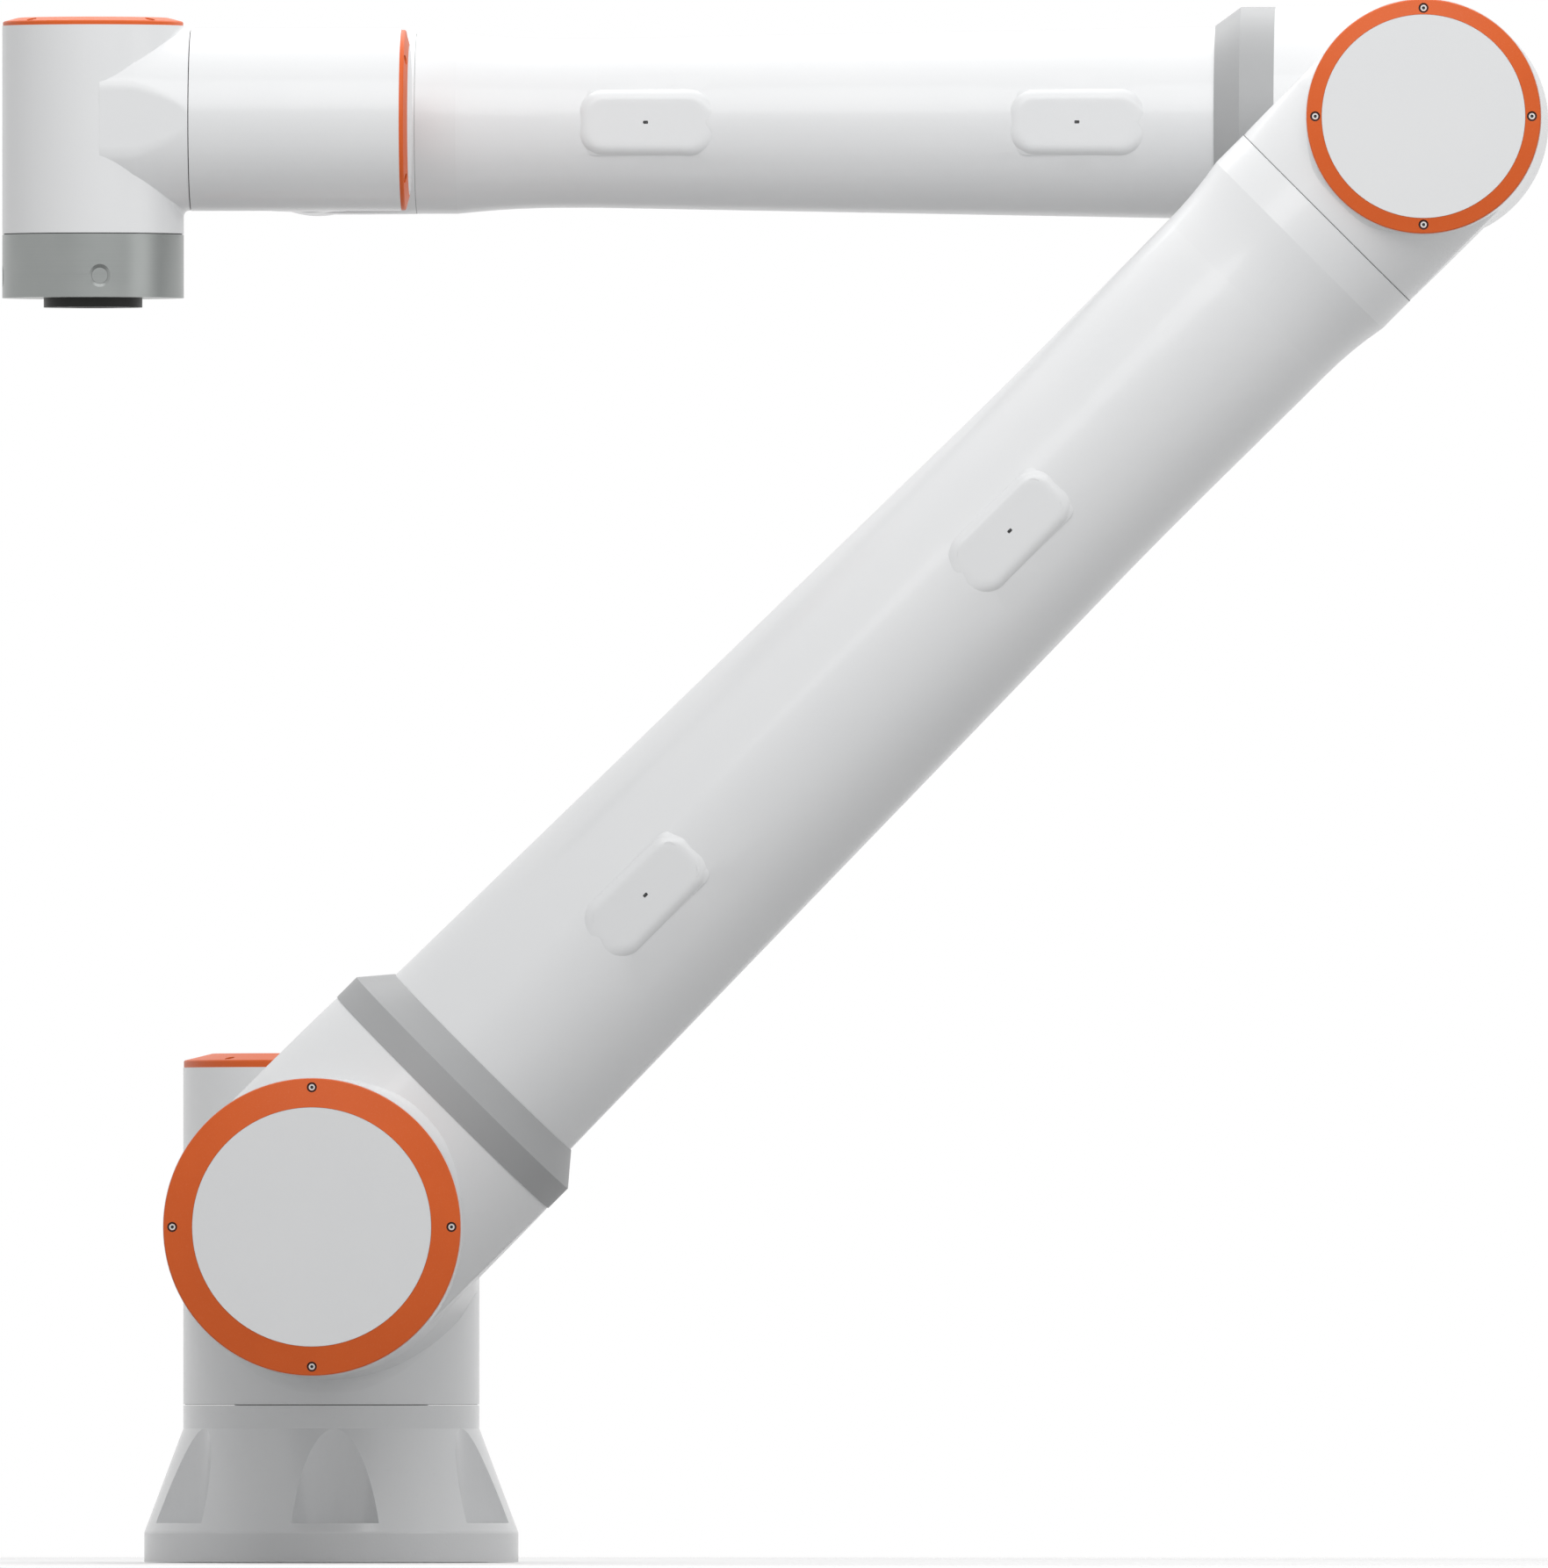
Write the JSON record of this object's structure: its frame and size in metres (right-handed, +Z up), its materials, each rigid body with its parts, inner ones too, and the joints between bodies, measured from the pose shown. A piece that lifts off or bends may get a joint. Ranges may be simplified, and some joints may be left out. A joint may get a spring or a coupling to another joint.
{
  "type": "industrial robot arm",
  "caption": "Six-axis jointed robot arm on a round bolted foot, with tapered link tubes, capped joint housings and a round tool flange.",
  "frame": {"origin": "middle of the foot's underside, where the arm is bolted down", "axes": "+Z up along the first joint's axis; the arm folds in planes square to Y, its front is -Y and the forearm points to -X"},
  "size_m": [0.985, 0.477, 0.9961],
  "materials": {
    "white_paint": "semi-gloss white powder coat",
    "orange_ring": "satin orange",
    "grey_collar": "satin grey",
    "tool_metal": "satin anodised",
    "black_flange": "hard anodised black",
    "seal_rubber": "matt black lip seal",
    "black_socket": "black plastic connector"
  },
  "bodies": {
    "base": {"base_foot": "white_paint", "cable_inlet": "black_socket"},
    "shoulder": {"shoulder_housing": "white_paint", "shoulder_seal": "seal_rubber", "shoulder_cap_ring": "orange_ring", "shoulder_cap_disc": "white_paint"},
    "upper_arm": {"upper_arm_housing": "white_paint", "upper_arm_seal": "seal_rubber", "upper_arm_cap_ring": "orange_ring", "upper_arm_cap_disc": "white_paint", "elbow_housing": "white_paint", "elbow_seal": "seal_rubber", "elbow_cap_ring": "orange_ring", "elbow_cap_disc": "white_paint", "upper_arm_collar": "grey_collar", "upper_arm_tube": "white_paint"},
    "forearm": {"forearm_wrist_housing": "white_paint", "forearm_wrist_seal": "seal_rubber", "forearm_wrist_cap_ring": "orange_ring", "forearm_wrist_cap_disc": "white_paint", "forearm_elbow_housing": "white_paint", "forearm_collar": "grey_collar", "forearm_tube": "white_paint"},
    "wrist_1": {"wrist_1_housing": "white_paint", "wrist_1_seal": "seal_rubber", "wrist_1_cap_ring": "orange_ring", "wrist_1_cap_disc": "white_paint"},
    "wrist_2": {"wrist_2_housing": "white_paint", "wrist_2_seal": "seal_rubber", "wrist_2_cap_ring": "orange_ring", "wrist_2_cap_disc": "white_paint"},
    "tool": {"tool_housing": "tool_metal", "tool_plug_front": "tool_metal", "tool_plug_side": "tool_metal", "tool_socket": "black_socket", "tool_flange": "black_flange"}
  },
  "joints": [
    {"name": "base_turn", "type": "hinge", "parent": "base", "child": "shoulder", "pos_m": [0, 0, 0.214], "axis": [0, 0, 1], "range_deg": [-175, 175]},
    {"name": "shoulder_lift", "type": "hinge", "parent": "shoulder", "child": "upper_arm", "pos_m": [0, -0.245, 0.214], "axis": [0, -1, 0], "range_deg": [-130, 220]},
    {"name": "elbow_bend", "type": "hinge", "parent": "upper_arm", "child": "forearm", "pos_m": [0.70711, -0.245, 0.92111], "axis": [0, -1, 0], "range_deg": [-290, 20]},
    {"name": "wrist_bend", "type": "hinge", "parent": "forearm", "child": "wrist_1", "pos_m": [-0.00789, -0.21, 0.92111], "axis": [0, -1, 0], "range_deg": [-175, 175]},
    {"name": "wrist_swing", "type": "hinge", "parent": "wrist_1", "child": "wrist_2", "pos_m": [-0.14489, -0.21, 0.92111], "axis": [1, 0, 0], "range_deg": [-175, 175]},
    {"name": "tool_turn", "type": "hinge", "parent": "wrist_2", "child": "tool", "pos_m": [-0.14489, -0.21, 0.84851], "axis": [0, 0, -1], "range_deg": [-175, 175]}
  ]
}
